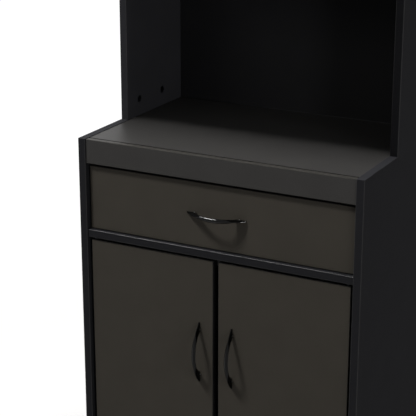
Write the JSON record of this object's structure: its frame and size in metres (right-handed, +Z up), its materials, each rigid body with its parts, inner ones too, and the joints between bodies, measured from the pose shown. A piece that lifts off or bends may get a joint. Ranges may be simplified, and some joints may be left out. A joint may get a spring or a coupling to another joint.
{
  "type": "kitchen cabinet",
  "caption": "Free-standing dark kitchen cabinet: base with a drawer on roller runners over inset doors, worktop with front fascia, and a set-back hutch with open niche and upper cupboard.",
  "frame": {"origin": "on the floor, under the middle of the cabinet's box, handles included", "axes": "+Z up, the front with drawer and doors faces -Y, +X to the right seen from the front"},
  "size_m": [0.6, 0.421, 1.8],
  "materials": {
    "black_laminate": "near-black melamine on chipboard, fine satin grain",
    "charcoal_laminate": "charcoal melamine on chipboard, fine satin grain",
    "black_hardboard": "painted hardboard, matte",
    "grey_drawer_foil": "dark grey foil on chipboard",
    "beech": "fluted beech dowel",
    "dark_zinc": "die-cast zinc, dark",
    "zinc_plated_steel": "bright zinc plate",
    "black_handle": "gloss black lacquer on metal",
    "epoxy_runner": "white epoxy coat on steel",
    "white_nylon": "moulded nylon",
    "black_plastic": "moulded black plastic"
  },
  "bodies": {
    "carcass": {"base_left_side": "black_laminate", "base_right_side": "black_laminate", "base_bottom_panel": "black_laminate", "divider_shelf": "black_laminate", "worktop": "charcoal_laminate", "worktop_fascia": "charcoal_laminate", "plinth_board": "black_laminate", "base_back_panel": "black_hardboard", "hutch_left_side": "black_laminate", "hutch_right_side": "black_laminate", "hutch_middle_shelf": "black_laminate", "hutch_top_panel": "black_laminate", "hutch_back_panel": "black_hardboard", "adjustable_shelves": "black_laminate", "shelf_pins": "zinc_plated_steel", "cam_locks": "dark_zinc", "cam_bolts": "zinc_plated_steel", "dowels": "beech", "angle_brackets": "zinc_plated_steel", "wood_screws": "zinc_plated_steel", "floor_glides": "black_plastic", "cabinet_runner_left": "epoxy_runner", "cabinet_runner_right": "epoxy_runner", "pivot_bushes": "black_plastic", "magnetic_catches": "black_plastic"},
    "drawer": {"drawer_front": "charcoal_laminate", "drawer_left_side": "grey_drawer_foil", "drawer_right_side": "grey_drawer_foil", "drawer_back": "grey_drawer_foil", "drawer_bottom": "black_hardboard", "drawer_dowels": "beech", "drawer_runner_left": "epoxy_runner", "drawer_runner_right": "epoxy_runner", "drawer_runner_screws": "zinc_plated_steel", "drawer_handle": "black_handle", "drawer_handle_screws": "zinc_plated_steel"},
    "front_roller_left": {"front_roller_left": "white_nylon"},
    "front_roller_right": {"front_roller_right": "white_nylon"},
    "rear_roller_left": {"rear_roller_left": "white_nylon"},
    "rear_roller_right": {"rear_roller_right": "white_nylon"},
    "lower_left_door": {"lower_left_door": "charcoal_laminate", "lower_left_door_handle": "black_handle", "lower_left_door_handle_screws": "zinc_plated_steel", "lower_left_door_pivot_pins": "dark_zinc", "lower_left_door_strike_plate": "zinc_plated_steel"},
    "lower_right_door": {"lower_right_door": "charcoal_laminate", "lower_right_door_handle": "black_handle", "lower_right_door_handle_screws": "zinc_plated_steel", "lower_right_door_pivot_pins": "dark_zinc", "lower_right_door_strike_plate": "zinc_plated_steel"},
    "upper_left_door": {"upper_left_door": "charcoal_laminate", "upper_left_door_handle": "black_handle", "upper_left_door_handle_screws": "zinc_plated_steel", "upper_left_door_pivot_pins": "dark_zinc", "upper_left_door_strike_plate": "zinc_plated_steel"},
    "upper_right_door": {"upper_right_door": "charcoal_laminate", "upper_right_door_handle": "black_handle", "upper_right_door_handle_screws": "zinc_plated_steel", "upper_right_door_pivot_pins": "dark_zinc", "upper_right_door_strike_plate": "zinc_plated_steel"}
  },
  "joints": [
    {"name": "drawer_slide", "type": "slide", "parent": "carcass", "child": "drawer", "axis": [0, -1, 0], "range_m": [0, 0.27]},
    {"name": "lower_left_door_hinge", "type": "hinge", "parent": "carcass", "child": "lower_left_door", "pos_m": [-0.2705, -0.1745, 0.36], "axis": [0, 0, -1], "range_deg": [0, 105]},
    {"name": "lower_right_door_hinge", "type": "hinge", "parent": "carcass", "child": "lower_right_door", "pos_m": [0.2705, -0.1745, 0.36], "axis": [0, 0, 1], "range_deg": [0, 105]},
    {"name": "upper_left_door_hinge", "type": "hinge", "parent": "carcass", "child": "upper_left_door", "pos_m": [-0.2705, -0.0095, 1.53], "axis": [0, 0, -1], "range_deg": [0, 105]},
    {"name": "upper_right_door_hinge", "type": "hinge", "parent": "carcass", "child": "upper_right_door", "pos_m": [0.2705, -0.0095, 1.53], "axis": [0, 0, 1], "range_deg": [0, 105]},
    {"name": "front_roller_left_spin", "type": "hinge", "parent": "carcass", "child": "front_roller_left", "pos_m": [-0.27775, -0.1505, 0.6833], "axis": [1, 0, 0], "continuous": true},
    {"name": "front_roller_right_spin", "type": "hinge", "parent": "carcass", "child": "front_roller_right", "pos_m": [0.27775, -0.1505, 0.6833], "axis": [1, 0, 0], "continuous": true},
    {"name": "rear_roller_left_spin", "type": "hinge", "parent": "drawer", "child": "rear_roller_left", "pos_m": [-0.27775, 0.1675, 0.6833], "axis": [1, 0, 0], "continuous": true},
    {"name": "rear_roller_right_spin", "type": "hinge", "parent": "drawer", "child": "rear_roller_right", "pos_m": [0.27775, 0.1675, 0.6833], "axis": [1, 0, 0], "continuous": true}
  ],
  "couplings": [
    {"joint": "front_roller_left_spin", "follows": "drawer_slide", "rad_per_m": 125},
    {"joint": "front_roller_right_spin", "follows": "drawer_slide", "rad_per_m": 125},
    {"joint": "rear_roller_left_spin", "follows": "drawer_slide", "rad_per_m": 125},
    {"joint": "rear_roller_right_spin", "follows": "drawer_slide", "rad_per_m": 125}
  ]
}
